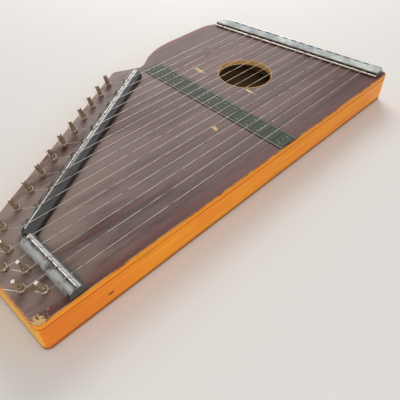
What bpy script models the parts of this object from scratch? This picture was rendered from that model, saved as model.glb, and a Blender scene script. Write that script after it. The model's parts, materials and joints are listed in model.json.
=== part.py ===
"""A sixteen-string board zither with a slanted row of tuning pins.

Plan measures start at the near right corner of the body: X is 0 at the long right side and falls
to the left, Y is 0 at the near end and grows along the strings. Z is 0 under the back board.
"""

import math

import bmesh
import bpy
from mathutils import Matrix, Vector

# Driving sizes in metres
SIDE_LENGTH = 0.480
BODY_WIDTH = 0.242
BODY_HEIGHT = 0.035
SOUNDBOARD_THICKNESS = 0.006
BACK_THICKNESS = 0.0035
RAIL_THICKNESS = 0.008
SHOULDER_RAIL_THICKNESS = 0.007
JOINT_GAP = 0.0003

# Plan outline: the far end is slanted, and the left side has a shoulder, a waist and a pin corner
FAR_END_ANGLE = math.radians(9.2)
NEAR_END_LENGTH = 0.0975
PIN_CORNER = (-0.232, 0.246)
WAIST_CORNER = (-0.217, 0.2795)
SHOULDER_Y = 0.312
NEAR_RIGHT_RADIUS = 0.006
FAR_RIGHT_RADIUS = 0.005
FAR_LEFT_RADIUS = 0.045
SHOULDER_RADIUS = 0.095
WAIST_RADIUS = 0.013
PIN_CORNER_RADIUS = 0.008
NEAR_LEFT_RADIUS = 0.010
TOP_EDGE_ROUND = 0.0012
BACK_EDGE_ROUND = 0.0010

# Blocks and braces inside the body
PIN_BLOCK_WIDTH = 0.044
NEAR_BLOCK_DEPTH = 0.050
PIN_BLOCK_END_Y = 0.262
HITCH_BLOCK_DEPTH = 0.024
BRACE_WIDTH = 0.008
BRACE_DEPTH = 0.014
BRACE_TIP_DEPTH = 0.005
BRACE_TAPER = 0.026
NEAR_BRACE_Y = 0.165
BRACE_FROM_HOLE = 0.0219
BRACE_FROM_HITCH_BLOCK = 0.0143
BACK_BRACES_Y = (0.125, 0.235)
BACK_BRACE_HEIGHT = 0.008
BRACE_END_ROOM = 0.004

# Sound hole, beyond the note strip
HOLE_X = -0.1198
HOLE_FROM_STRIP = 0.0254
HOLE_RADIUS = 0.0315
HOLE_SIDES = 48

# Strings
STRING_COUNT = 16
SHORT_BRIDGE_STRINGS = 5
STRING_RADIUS = 0.00025
FIRST_STRING_X = -0.0140
SHORT_BRIDGE_PITCH = 0.0131
LONG_BRIDGE_START_X = -0.0790
LONG_BRIDGE_PITCH = 0.01135
FIRST_HITCH_X = -0.0218
HITCH_PITCH = 0.01205

# Half-round bridges, each with a saddle wire let into its crest
BRIDGE_WIDTH = 0.016
BRIDGE_HEIGHT = 0.0094
BRIDGE_SIDE_WALL = 0.0012
BRIDGE_ARCH_STEPS = 10
LONG_BRIDGE_ANGLE = math.radians(120.4)
LONG_BRIDGE_X = -0.0791
LONG_BRIDGE_Y = 0.0434
LONG_BRIDGE_LENGTH = 0.2495
SHORT_BRIDGE_Y = 0.0376
SHORT_BRIDGE_RIGHT_X = -0.0015
SHORT_BRIDGE_LEFT_X = -0.0702
SADDLE_WIRE_RADIUS = 0.0007
SADDLE_WIRE_SIDES = 12
SADDLE_WIRE_MARGIN = 0.0018

# Guide nails beside the saddle wires
NAIL_RADIUS = 0.0007
NAIL_ROOT = 0.0048
NAIL_STAND = 0.0040
NAIL_SETBACK = 0.0028
NAIL_SIDES = 8
NAIL_BEND_STEPS = 2
NAIL_EDGE_SHARE = 0.3
NAIL_HOLE_EXTRA_DEPTH = 0.0006

# Tuning pins
PIN_RADIUS = 0.0025
PIN_SIDES = 12
PIN_STAND = 0.0166
PIN_DEPTH = 0.0215
PIN_LEAN = math.radians(15.0)
PIN_HEAD_LENGTH = 0.0085
PIN_HEAD_HALF = 0.00175
PIN_HEAD_TOP_HALF = 0.00150
PIN_EDGE = 0.0005
PIN_HOLE_EXTRA_DEPTH = 0.0008
PIN_ROW_SETBACK = 0.0220
PIN_ROW_START = -0.0017
PIN_ROW_PITCH = 0.02237
NEAR_PINS_X = (-0.0210, -0.0335, -0.0465, -0.0600, -0.0730)
NEAR_PINS_Y = (0.0220, 0.0110)
PIN_HEAD_TURN = math.radians(37.0)

# Windings of the strings on the tuning pins
COIL_TURNS = 1.25
COIL_STEPS = 24
COIL_CLEARANCE = 0.00035
COIL_PITCH = 0.0010
COIL_HEIGHT = 0.0056
COIL_TAIL = 0.0024
LEAST_COIL_GAP = 0.0004

# Far end: saddle wire, hitch pins and their metal cover, measured inwards from the far edge
END_WIRE_INSET = 0.0198
END_WIRE_RADIUS = 0.0012
END_WIRE_RIGHT_X = -0.0045
END_WIRE_LEFT_X = -0.2290
HITCH_PIN_INSET = 0.0118
HITCH_PIN_RADIUS = 0.0008
HITCH_PIN_STAND = 0.0060
HITCH_PIN_DEPTH = 0.0130
HITCH_HOOK_STEPS = 4
HITCH_HOOK_TURN = math.radians(200.0)
COVER_SHEET = 0.0006
COVER_RIGHT_X = -0.0050
COVER_LEFT_FRONT_X = -0.2310
COVER_LEFT_BACK_X = -0.2120
COVER_FRONT_INSET = 0.0173
COVER_LIP_BOTTOM = 0.0036
COVER_LIP_TOP = 0.0048
COVER_FACE_INSET = 0.0116
COVER_FACE_TOP = 0.0083
COVER_RIM_INSET = 0.0104
COVER_RIM_TOP = 0.0092
COVER_RIM_WIDTH = 0.0010
COVER_FOOT_INSET = 0.0048
COVER_FOOT_TOP = 0.0009
COVER_BACK_INSET = 0.0005
SLOT_LENGTH = 0.0072
SLOT_WIDTH = 0.0009
COVER_NAIL_COUNT = 5
COVER_NAIL_INSET = 0.0026
COVER_NAIL_RADIUS = 0.0006
COVER_NAIL_HEAD_RADIUS = 0.0011
COVER_NAIL_HEAD_HEIGHT = 0.0005
COVER_NAIL_CROWN_RADIUS = 0.0009
COVER_NAIL_DEPTH = 0.0110
COVER_NAIL_MARGIN = 0.0150

# Printed note strip across the soundboard
NOTE_STRIP_THICKNESS = 0.0003
NOTE_STRIP_FROM_BRIDGE = 0.0149
NOTE_STRIP_WIDTH = 0.0260
NOTE_STRIP_LEFT_X = -0.2110
NOTE_STRIP_RIGHT_X = -0.0012

ARC_STEP = math.radians(10.0)

# Places that follow from the sizes above
LONG_BRIDGE_END_Y = LONG_BRIDGE_Y + LONG_BRIDGE_LENGTH * math.sin(LONG_BRIDGE_ANGLE)
NOTE_STRIP_NEAR_Y = LONG_BRIDGE_END_Y + NOTE_STRIP_FROM_BRIDGE
NOTE_STRIP_FAR_Y = NOTE_STRIP_NEAR_Y + NOTE_STRIP_WIDTH
HOLE_Y = NOTE_STRIP_FAR_Y + HOLE_FROM_STRIP + HOLE_RADIUS

# Levels that follow from the sizes above
BOARD_BOTTOM = BODY_HEIGHT - SOUNDBOARD_THICKNESS
FRAME_TOP = BOARD_BOTTOM - JOINT_GAP
FRAME_BOTTOM = BACK_THICKNESS + JOINT_GAP
SADDLE_TOP = BODY_HEIGHT + BRIDGE_HEIGHT + SADDLE_WIRE_RADIUS
STRING_SEAT = JOINT_GAP + STRING_RADIUS


def clear_scene():
    for item in list(bpy.data.objects):
        bpy.data.objects.remove(item, do_unlink=True)


# Plan geometry

def line_crossing(point_a, direction_a, point_b, direction_b):
    """The point where two straight lines in plan meet."""
    cross = direction_a.x * direction_b.y - direction_a.y * direction_b.x
    gap = point_b - point_a
    reach = (gap.x * direction_b.y - gap.y * direction_b.x) / cross
    return point_a + direction_a * reach


def rounded_outline(corners, inset=0.0):
    """A closed outline through corners (x, y, radius), anticlockwise, with an arc at each corner.

    An inset draws the whole outline inwards: outer arcs lose it and inner arcs gain it.
    The result is one list of points for each corner.
    """
    count = len(corners)
    points = [Vector((x, y)) for x, y, radius in corners]
    directions = [(points[(i + 1) % count] - points[i]).normalized() for i in range(count)]
    inward = [Vector((-d.y, d.x)) for d in directions]
    groups = []
    for i in range(count):
        before = directions[i - 1]
        after = directions[i]
        corner = line_crossing(points[i] + inward[i - 1] * inset, before,
                               points[i] + inward[i] * inset, after)
        turn = math.atan2(before.x * after.y - before.y * after.x, before.dot(after))
        radius = corners[i][2]
        if radius == 0.0:
            groups.append([corner])
            continue
        side = math.copysign(1.0, turn)
        radius = radius - side * inset
        start = corner - before * (radius * math.tan(abs(turn) / 2))
        centre = start + Vector((-before.y, before.x)) * (side * radius)
        steps = max(2, math.ceil(abs(turn) / ARC_STEP))
        arm = start - centre
        groups.append([centre + arm @ Matrix.Rotation(-turn * k / steps, 2) for k in range(steps + 1)])
    return groups


def flat(groups):
    return [point for group in groups for point in group]


def kept_left(points, start, direction):
    """The part of a closed outline that lies to the left of a straight line."""
    def height(point):
        return direction.x * (point.y - start.y) - direction.y * (point.x - start.x)

    kept = []
    for i, point in enumerate(points):
        follower = points[(i + 1) % len(points)]
        here = height(point)
        there = height(follower)
        if here >= 0:
            kept.append(point)
        if here * there < 0:
            kept.append(point.lerp(follower, here / (here - there)))
    return kept


def far_edge_direction():
    return Vector((-math.cos(FAR_END_ANGLE), -math.sin(FAR_END_ANGLE)))


def far_edge_inward():
    return Vector((math.sin(FAR_END_ANGLE), -math.cos(FAR_END_ANGLE)))


def far_point(x, inset):
    """The plan point at x on the line that lies inset inwards from the far edge."""
    start = Vector((0.0, SIDE_LENGTH)) + far_edge_inward() * inset
    return line_crossing(start, far_edge_direction(), Vector((x, 0.0)), Vector((0.0, 1.0)))


def body_corners():
    far_left_y = far_point(-BODY_WIDTH, 0.0).y
    return [(0.0, 0.0, NEAR_RIGHT_RADIUS),
            (0.0, SIDE_LENGTH, FAR_RIGHT_RADIUS),
            (-BODY_WIDTH, far_left_y, FAR_LEFT_RADIUS),
            (-BODY_WIDTH, SHOULDER_Y, SHOULDER_RADIUS),
            (WAIST_CORNER[0], WAIST_CORNER[1], WAIST_RADIUS),
            (PIN_CORNER[0], PIN_CORNER[1], PIN_CORNER_RADIUS),
            (-NEAR_END_LENGTH, 0.0, NEAR_LEFT_RADIUS)]


def slanted_side(inset):
    """A point and the direction of the side beside the tuning pins, going towards the far end."""
    near = Vector((-NEAR_END_LENGTH, 0.0))
    direction = (Vector(PIN_CORNER) - near).normalized()
    return near + Vector((direction.y, -direction.x)) * inset, direction


def level_line(y):
    return Vector((0.0, y)), Vector((1.0, 0.0))


def plan_offset():
    """The shift that puts the middle of the body's outline over the origin."""
    outline = flat(rounded_outline(body_corners()))
    xs = [point.x for point in outline]
    ys = [point.y for point in outline]
    return Vector((-(min(xs) + max(xs)) / 2, -(min(ys) + max(ys)) / 2, 0.0))


# Building solids

def new_object(name, mesh, finish=None):
    item = bpy.data.objects.new(name, mesh)
    bpy.context.scene.collection.objects.link(item)
    item.parent = bpy.data.objects["zither"]
    if finish is not None:
        mesh.materials.append(finish)
    return item


def mesh_from(name, form):
    bmesh.ops.recalc_face_normals(form, faces=form.faces)
    mesh = bpy.data.meshes.new(name)
    form.to_mesh(mesh)
    form.free()
    return mesh


def add_loft(form, rings):
    """Skin rings of equal length from first to last, and close both ends."""
    loops = [[form.verts.new(point) for point in ring] for ring in rings]
    count = len(loops[0])
    for lower, upper in zip(loops, loops[1:]):
        for i in range(count):
            form.faces.new((lower[i], lower[(i + 1) % count], upper[(i + 1) % count], upper[i]))
    form.faces.new(list(reversed(loops[0])))
    form.faces.new(loops[-1])


def raised(points, height):
    return [Vector((point.x, point.y, height)) for point in points]


def plate(name, outline, bottom, top, finish):
    """A flat board: its outline filled and extruded upwards."""
    form = bmesh.new()
    face = form.faces.new([form.verts.new(point) for point in raised(outline, bottom)])
    grown = bmesh.ops.extrude_face_region(form, geom=[face])
    moved = [part for part in grown["geom"] if isinstance(part, bmesh.types.BMVert)]
    bmesh.ops.translate(form, verts=moved, vec=(0.0, 0.0, top - bottom))
    return new_object(name, mesh_from(name, form), finish)


def circle(centre, radius, sides, height, start=0.0):
    angles = [start + math.tau * k / sides for k in range(sides)]
    return [Vector((centre.x + radius * math.cos(a), centre.y + radius * math.sin(a), height)) for a in angles]


def hole_radius(radius, sides):
    """A hole's corner radius that leaves the joint gap at the middle of its flats."""
    return (radius + JOINT_GAP) / math.cos(math.pi / sides)


def combine(item, other, operation):
    step = item.modifiers.new(operation.lower() + " " + other.name, "BOOLEAN")
    step.operation = operation
    step.solver = "EXACT"
    step.object = other
    other.hide_render = True
    other.display_type = "WIRE"


def cut(item, cutter):
    """Take a cutter's shape out of an object."""
    combine(item, cutter, "DIFFERENCE")


def drive_in(item, nails):
    """Make nails one body with the piece that holds them."""
    combine(item, nails, "UNION")


def smooth(item, angle):
    item.data.shade_smooth()
    item.data.set_sharp_from_angle(angle=math.radians(angle))


def wire(name, points, radius, sides_step, finish):
    """A wire along its points, with closed ends."""
    line = bpy.data.curves.new(name, "CURVE")
    line.dimensions = "3D"
    line.bevel_depth = radius
    line.bevel_resolution = sides_step
    line.use_fill_caps = True
    run = line.splines.new("POLY")
    run.points.add(len(points) - 1)
    for slot, point in zip(run.points, points):
        slot.co = (point.x, point.y, point.z, 1.0)
    return new_object(name, line, finish)


# Finishes

def finish(name, colour, roughness, metallic=0.0):
    material = bpy.data.materials.new(name)
    material.use_nodes = True
    shader = material.node_tree.nodes["Principled BSDF"]
    shader.inputs["Base Color"].default_value = (*colour, 1.0)
    shader.inputs["Roughness"].default_value = roughness
    shader.inputs["Metallic"].default_value = metallic
    return material


def stained_top(name):
    return finish(name, (0.085, 0.040, 0.034), 0.45)


def orange_varnish(name):
    return finish(name, (0.95, 0.36, 0.01), 0.35)


def bare_wood(name):
    return finish(name, (0.55, 0.36, 0.18), 0.75)


def black_lacquer(name):
    return finish(name, (0.012, 0.013, 0.014), 0.25)


def bright_steel(name):
    return finish(name, (0.62, 0.61, 0.58), 0.30, 1.0)


def rusty_steel(name):
    return finish(name, (0.16, 0.08, 0.045), 0.55, 0.8)


def tinned_sheet(name):
    return finish(name, (0.55, 0.57, 0.55), 0.42, 1.0)


def printed_paper(name):
    return finish(name, (0.12, 0.14, 0.11), 0.60)


# Body

def edged_board(name, bottom, top, edge, edge_on_top, colour):
    """A board to the full outline, with one edge eased by two small steps."""
    corners = body_corners()
    outside = flat(rounded_outline(corners))
    part_way = flat(rounded_outline(corners, edge * (1 - math.cos(math.pi / 4))))
    inside = flat(rounded_outline(corners, edge))
    drop = edge * (1 - math.sin(math.pi / 4))
    if edge_on_top:
        rings = [raised(outside, bottom), raised(outside, top - edge), raised(part_way, top - drop),
                 raised(inside, top)]
    else:
        rings = [raised(inside, bottom), raised(part_way, bottom + drop), raised(outside, bottom + edge),
                 raised(outside, top)]
    form = bmesh.new()
    add_loft(form, rings)
    return new_object(name, mesh_from(name, form), colour)


def make_side_rail():
    outline = flat(rounded_outline(body_corners()))
    rail = kept_left(outline, Vector((-RAIL_THICKNESS, SIDE_LENGTH)), Vector((0.0, -1.0)))
    return plate("side_rail_long", rail, FRAME_BOTTOM, FRAME_TOP, orange_varnish("varnish_side"))


def make_shoulder_rail():
    """The curved rail of the left side: a band of even thickness between the two blocks."""
    corners = body_corners()
    outer = rounded_outline(corners)
    inner = rounded_outline(corners, SHOULDER_RAIL_THICKNESS)
    band = flat(outer[2:6]) + list(reversed(flat(inner[2:6])))
    start, direction = level_line(PIN_BLOCK_END_Y + JOINT_GAP)
    band = kept_left(band, start, direction)
    far = Vector((0.0, SIDE_LENGTH)) + far_edge_inward() * (HITCH_BLOCK_DEPTH + JOINT_GAP)
    band = kept_left(band, far, far_edge_direction())
    return plate("side_rail_shoulder", band, FRAME_BOTTOM, FRAME_TOP, orange_varnish("varnish_shoulder"))


def make_pin_block():
    """The thick block under all the tuning pins, whose faces are the near end and slanted side."""
    right = -(RAIL_THICKNESS + JOINT_GAP)
    inner_start, inner_direction = slanted_side(PIN_BLOCK_WIDTH)
    knee = line_crossing(inner_start, inner_direction, *level_line(NEAR_BLOCK_DEPTH))
    inner_end = line_crossing(inner_start, inner_direction, *level_line(PIN_BLOCK_END_Y))
    waist = Vector(WAIST_CORNER)
    outer_end = line_crossing(waist, Vector(PIN_CORNER) - waist, *level_line(PIN_BLOCK_END_Y))
    corners = [(right, 0.0, 0.0),
               (right, NEAR_BLOCK_DEPTH, 0.0),
               (knee.x, knee.y, 0.0),
               (inner_end.x, inner_end.y, 0.0),
               (outer_end.x, outer_end.y, 0.0),
               (PIN_CORNER[0], PIN_CORNER[1], PIN_CORNER_RADIUS),
               (-NEAR_END_LENGTH, 0.0, NEAR_LEFT_RADIUS)]
    return plate("pin_block", flat(rounded_outline(corners)), FRAME_BOTTOM, FRAME_TOP,
                 orange_varnish("varnish_pin_block"))


def make_hitch_block():
    outline = flat(rounded_outline(body_corners()))
    far = Vector((0.0, SIDE_LENGTH)) + far_edge_inward() * HITCH_BLOCK_DEPTH
    block = kept_left(outline, far, -far_edge_direction())
    block = kept_left(block, Vector((-(RAIL_THICKNESS + JOINT_GAP), 0.0)), Vector((0.0, 1.0)))
    return plate("hitch_block", block, FRAME_BOTTOM, FRAME_TOP, orange_varnish("varnish_hitch_block"))


def inner_reach(y):
    """The leftmost x that stays clear of the blocks and rails across a brace's width at y."""
    reach = []
    for edge in (y - BRACE_WIDTH / 2, y + BRACE_WIDTH / 2):
        if y < PIN_BLOCK_END_Y:
            start, direction = slanted_side(PIN_BLOCK_WIDTH)
            reach.append(line_crossing(start, direction, *level_line(edge)).x)
            continue
        inner = flat(rounded_outline(body_corners(), SHOULDER_RAIL_THICKNESS)[2:6])
        for above, below in zip(inner, inner[1:]):
            if below.y <= edge <= above.y:
                reach.append(above.lerp(below, (above.y - edge) / (above.y - below.y)).x)
    return max(reach)


def make_brace(name, y, foot, height, towards):
    """A cross brace glued by its foot, whose ends taper; towards is 1 upwards and -1 downwards."""
    left = inner_reach(y) + BRACE_END_ROOM
    right = -(RAIL_THICKNESS + BRACE_END_ROOM)
    tip = foot + towards * BRACE_TIP_DEPTH
    crest = foot + towards * height
    profile = [(left, foot), (right, foot), (right, tip), (right - BRACE_TAPER, crest),
               (left + BRACE_TAPER, crest), (left, tip)]
    form = bmesh.new()
    rings = [[Vector((x, y + side * BRACE_WIDTH / 2, z)) for x, z in profile] for side in (-1, 1)]
    add_loft(form, rings)
    return new_object(name, mesh_from(name, form), bare_wood("spruce_" + name))


def make_note_strip():
    outline = [Vector((NOTE_STRIP_RIGHT_X, NOTE_STRIP_NEAR_Y)),
               Vector((NOTE_STRIP_RIGHT_X, NOTE_STRIP_FAR_Y)),
               Vector((NOTE_STRIP_LEFT_X, NOTE_STRIP_FAR_Y)),
               Vector((NOTE_STRIP_LEFT_X, NOTE_STRIP_NEAR_Y))]
    bottom = BODY_HEIGHT + JOINT_GAP
    paper = printed_paper("printed_note_strip")
    return plate("note_strip", outline, bottom, bottom + NOTE_STRIP_THICKNESS, paper)


def sound_hole_cutter():
    centre = Vector((HOLE_X, HOLE_Y))
    form = bmesh.new()
    add_loft(form, [circle(centre, HOLE_RADIUS, HOLE_SIDES, BOARD_BOTTOM - 0.002),
                    circle(centre, HOLE_RADIUS, HOLE_SIDES, BODY_HEIGHT + 0.002)])
    return new_object("sound_hole_cutter", mesh_from("sound_hole_cutter", form))


# Bridges

def long_bridge_axes():
    """The middle of the long bridge's round end, the way along it, and the way towards its strings."""
    along = Vector((math.cos(LONG_BRIDGE_ANGLE), math.sin(LONG_BRIDGE_ANGLE)))
    return Vector((LONG_BRIDGE_X, LONG_BRIDGE_Y)), along, Vector((along.y, -along.x))


def bridge_section(half_width):
    """Half-round section (across, up) cut off at half_width, with the saddle wire's groove."""
    full = BRIDGE_WIDTH / 2
    rise = BRIDGE_HEIGHT - JOINT_GAP - BRIDGE_SIDE_WALL
    groove = SADDLE_WIRE_RADIUS + JOINT_GAP

    def arch(across):
        return JOINT_GAP + BRIDGE_SIDE_WALL + rise * math.sqrt(max(0.0, 1 - (across / full) ** 2))

    lip = math.asin(groove / full)
    edge = math.asin(min(1.0, half_width / full))
    angles = [edge + (lip - edge) * k / BRIDGE_ARCH_STEPS for k in range(BRIDGE_ARCH_STEPS + 1)]
    right = [(full * math.sin(a), arch(full * math.sin(a))) for a in angles]
    hollow = [(groove * math.cos(math.pi * k / 4), BRIDGE_HEIGHT - groove * math.sin(math.pi * k / 4))
              for k in range(1, 4)]
    left = [(-across, up) for across, up in reversed(right)]
    return [(half_width, JOINT_GAP)] + right + hollow + left + [(-half_width, JOINT_GAP)]


def bridge_bar(name, start, along, across, stations):
    """A bar of half-round section, skinned through stations (distance along, half width)."""
    rings = []
    for distance, half_width in stations:
        middle = start + along * distance
        rings.append([Vector((*(middle + across * side), BODY_HEIGHT + up))
                      for side, up in bridge_section(half_width)])
    form = bmesh.new()
    add_loft(form, rings)
    bar = new_object(name, mesh_from(name, form), black_lacquer("lacquer_" + name))
    smooth(bar, 35)
    return bar


def make_long_bridge():
    """Its near end is round in plan, drawn by narrowing the section along a half circle."""
    middle, along, across = long_bridge_axes()
    half = BRIDGE_WIDTH / 2
    stations = []
    for degrees in (78, 60, 40, 20):
        angle = math.radians(degrees)
        stations.append((-half * math.sin(angle), half * math.cos(angle)))
    stations += [(0.0, half), (LONG_BRIDGE_LENGTH, half)]
    return bridge_bar("long_bridge", middle, along, across, stations)


def make_short_bridge():
    start = Vector((SHORT_BRIDGE_RIGHT_X, SHORT_BRIDGE_Y))
    length = SHORT_BRIDGE_RIGHT_X - SHORT_BRIDGE_LEFT_X
    half = BRIDGE_WIDTH / 2
    return bridge_bar("short_bridge", start, Vector((-1.0, 0.0)), Vector((0.0, 1.0)),
                      [(0.0, half), (length, half)])


def straight_rod(name, start, end, height, radius, colour):
    """A round rod lying level between two plan points."""
    along = (end - start).normalized()
    side = Vector((-along.y, along.x, 0.0))
    rings = []
    for point in (start, end):
        middle = Vector((point.x, point.y, height))
        rings.append([middle + side * (radius * math.cos(math.tau * k / SADDLE_WIRE_SIDES))
                      + Vector((0.0, 0.0, radius * math.sin(math.tau * k / SADDLE_WIRE_SIDES)))
                      for k in range(SADDLE_WIRE_SIDES)])
    form = bmesh.new()
    add_loft(form, rings)
    rod = new_object(name, mesh_from(name, form), bright_steel(colour))
    smooth(rod, 40)
    return rod


def make_saddle_wires():
    middle, along, across = long_bridge_axes()
    height = BODY_HEIGHT + BRIDGE_HEIGHT
    near_tip = middle - along * (BRIDGE_WIDTH / 2 - 2 * SADDLE_WIRE_MARGIN)
    far_tip = middle + along * (LONG_BRIDGE_LENGTH - SADDLE_WIRE_MARGIN)
    straight_rod("saddle_wire_long", near_tip, far_tip, height, SADDLE_WIRE_RADIUS, "steel_saddle_long")
    right = Vector((SHORT_BRIDGE_RIGHT_X - SADDLE_WIRE_MARGIN, SHORT_BRIDGE_Y))
    left = Vector((SHORT_BRIDGE_LEFT_X + SADDLE_WIRE_MARGIN, SHORT_BRIDGE_Y))
    straight_rod("saddle_wire_short", right, left, height, SADDLE_WIRE_RADIUS, "steel_saddle_short")


def make_end_wire():
    start = far_point(END_WIRE_RIGHT_X, END_WIRE_INSET)
    end = far_point(END_WIRE_LEFT_X, END_WIRE_INSET)
    height = BODY_HEIGHT + JOINT_GAP + END_WIRE_RADIUS
    straight_rod("saddle_wire_end", start, end, height, END_WIRE_RADIUS, "steel_saddle_end")


# Where each string runs, in plan

def near_crossing(number):
    """The point where a string crosses its bridge's saddle wire; number 0 is the rightmost."""
    if number < SHORT_BRIDGE_STRINGS:
        return Vector((FIRST_STRING_X - SHORT_BRIDGE_PITCH * number, SHORT_BRIDGE_Y))
    x = LONG_BRIDGE_START_X - LONG_BRIDGE_PITCH * (number - SHORT_BRIDGE_STRINGS)
    middle, along, across = long_bridge_axes()
    return line_crossing(middle, along, Vector((x, 0.0)), Vector((0.0, 1.0)))


def end_crossing(number):
    return far_point(FIRST_HITCH_X - HITCH_PITCH * number, END_WIRE_INSET)


def string_direction(number):
    return (near_crossing(number) - end_crossing(number)).normalized()


def nail_turn_radius():
    return NAIL_RADIUS + JOINT_GAP + STRING_RADIUS


def hook_radius():
    return HITCH_PIN_RADIUS + JOINT_GAP + STRING_RADIUS


def nail_point(number):
    """The nail that turns a string towards its pin: set back from the saddle, left of the string."""
    crossing = near_crossing(number)
    travel = string_direction(number)
    left = Vector((travel.y, -travel.x))
    start = crossing + left * nail_turn_radius()
    if number < SHORT_BRIDGE_STRINGS:
        row = Vector((0.0, SHORT_BRIDGE_Y - NAIL_SETBACK))
        return line_crossing(start, travel, row, Vector((1.0, 0.0)))
    middle, along, across = long_bridge_axes()
    return line_crossing(start, travel, middle - across * NAIL_SETBACK, along)


def hitch_point(number):
    """The hitch pin of a string: beyond the end wire, just left of the string's line."""
    travel = -string_direction(number)
    start = end_crossing(number) + Vector((-travel.y, travel.x)) * hook_radius()
    row = Vector((0.0, SIDE_LENGTH)) + far_edge_inward() * HITCH_PIN_INSET
    return line_crossing(start, travel, row, far_edge_direction())


def pin_point(number):
    """The plan point where a tuning pin's axis leaves the soundboard."""
    if number < SHORT_BRIDGE_STRINGS:
        return Vector((NEAR_PINS_X[number], NEAR_PINS_Y[number % 2]))
    middle, along, across = long_bridge_axes()
    reach = PIN_ROW_START + PIN_ROW_PITCH * (number - SHORT_BRIDGE_STRINGS)
    return middle - across * PIN_ROW_SETBACK + along * reach


def pin_frame(number):
    """Turns and places a pin: its own Z runs up its leaning axis."""
    place = pin_point(number)
    lean = Matrix.Rotation(PIN_LEAN, 4, "X")
    return Matrix.Translation((place.x, place.y, BODY_HEIGHT)) @ lean


# Nails, hitch pins and tuning pins

def post(form, place, bottom, top, radius, edge):
    """A round post whose top edge is eased."""
    add_loft(form, [circle(place, radius, NAIL_SIDES, bottom), circle(place, radius, NAIL_SIDES, top - edge),
                    circle(place, radius - edge, NAIL_SIDES, top)])


def bridge_surface(setback):
    """Height of a bridge's round top above the soundboard, at a distance from its crest."""
    rise = BRIDGE_HEIGHT - JOINT_GAP - BRIDGE_SIDE_WALL
    return JOINT_GAP + BRIDGE_SIDE_WALL + rise * math.sqrt(1 - (setback / (BRIDGE_WIDTH / 2)) ** 2)


def drive_guide_nails(bridge, numbers):
    """Nails in a row just behind the crest of a bridge, one for each of its strings."""
    surface = BODY_HEIGHT + bridge_surface(NAIL_SETBACK)
    form = bmesh.new()
    for number in numbers:
        post(form, nail_point(number), surface - NAIL_ROOT, surface + NAIL_STAND, NAIL_RADIUS,
             NAIL_RADIUS * NAIL_EDGE_SHARE)
    drive_in(bridge, new_object(bridge.name + "_nails", mesh_from(bridge.name + "_nails", form)))


def drive_hitch_pins(block):
    """Pins that stand on the hitch block and pass the soundboard; returns the cutter of their holes."""
    form = bmesh.new()
    holes = bmesh.new()
    top = BODY_HEIGHT + HITCH_PIN_STAND
    bottom = BODY_HEIGHT - HITCH_PIN_DEPTH
    radius = hole_radius(HITCH_PIN_RADIUS, NAIL_SIDES)
    for number in range(STRING_COUNT):
        place = hitch_point(number)
        post(form, place, bottom, top, HITCH_PIN_RADIUS, HITCH_PIN_RADIUS * NAIL_EDGE_SHARE)
        add_loft(holes, [circle(place, radius, NAIL_SIDES, bottom), circle(place, radius, NAIL_SIDES, top)])
    drive_in(block, new_object("hitch_pins", mesh_from("hitch_pins", form)))
    return new_object("hitch_pin_holes", mesh_from("hitch_pin_holes", holes))


def square_ring(half, height):
    """Twelve points of a square: its corners and two points along each side."""
    ring = []
    for k in range(PIN_SIDES):
        angle = math.tau * (k + 1.5) / PIN_SIDES
        reach = half / max(abs(math.cos(angle)), abs(math.sin(angle)))
        ring.append(Vector((reach * math.cos(angle), reach * math.sin(angle), height)))
    return ring


def round_ring(radius, height):
    return circle(Vector((0.0, 0.0)), radius, PIN_SIDES, height, math.tau * 1.5 / PIN_SIDES)


def tuning_pin_mesh():
    """A round shaft that rises into a tapered square head for the tuning key."""
    shoulder = PIN_STAND - PIN_HEAD_LENGTH
    rings = [round_ring(PIN_RADIUS - PIN_EDGE, -PIN_DEPTH),
             round_ring(PIN_RADIUS, -PIN_DEPTH + PIN_EDGE),
             round_ring(PIN_RADIUS, shoulder - PIN_EDGE),
             square_ring(PIN_HEAD_HALF, shoulder + PIN_EDGE),
             square_ring(PIN_HEAD_TOP_HALF, PIN_STAND - PIN_EDGE / 2),
             square_ring(PIN_HEAD_TOP_HALF - PIN_EDGE / 2, PIN_STAND)]
    form = bmesh.new()
    add_loft(form, rings)
    return mesh_from("tuning_pin", form)


def make_tuning_pins():
    """Sixteen pins, each on its own leaning axis; returns the cutter of their holes."""
    pin = tuning_pin_mesh()
    pin.materials.append(rusty_steel("tuning_pin_steel"))
    holes = bmesh.new()
    radius = hole_radius(PIN_RADIUS, PIN_SIDES)
    for number in range(STRING_COUNT):
        item = new_object("tuning_pin_%02d" % (number + 1), pin)
        place = pin_point(number)
        item.rotation_mode = "ZYX"
        item.location = (place.x, place.y, BODY_HEIGHT)
        item.rotation_euler = (PIN_LEAN, 0.0, PIN_HEAD_TURN * number)
        turned = pin_frame(number)
        depth = PIN_DEPTH + PIN_HOLE_EXTRA_DEPTH
        add_loft(holes, [[turned @ point for point in round_ring(radius, -depth)],
                         [turned @ point for point in round_ring(radius, PIN_RADIUS * 2)]])
    smooth(bpy.data.objects["tuning_pin_01"], 30)
    return new_object("tuning_pin_holes", mesh_from("tuning_pin_holes", holes))


# Strings

def turning(centre, radius, start, end, steps):
    """Plan points that go clockwise round a centre from one angle to another."""
    sweep = (start - end) % math.tau
    angles = [start - sweep * k / steps for k in range(steps + 1)]
    return [centre + Vector((math.cos(a), math.sin(a))) * radius for a in angles]


def heading_angle(direction):
    """The angle on a circle at which clockwise travel has the given direction."""
    return math.atan2(direction.x, -direction.y)


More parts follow.
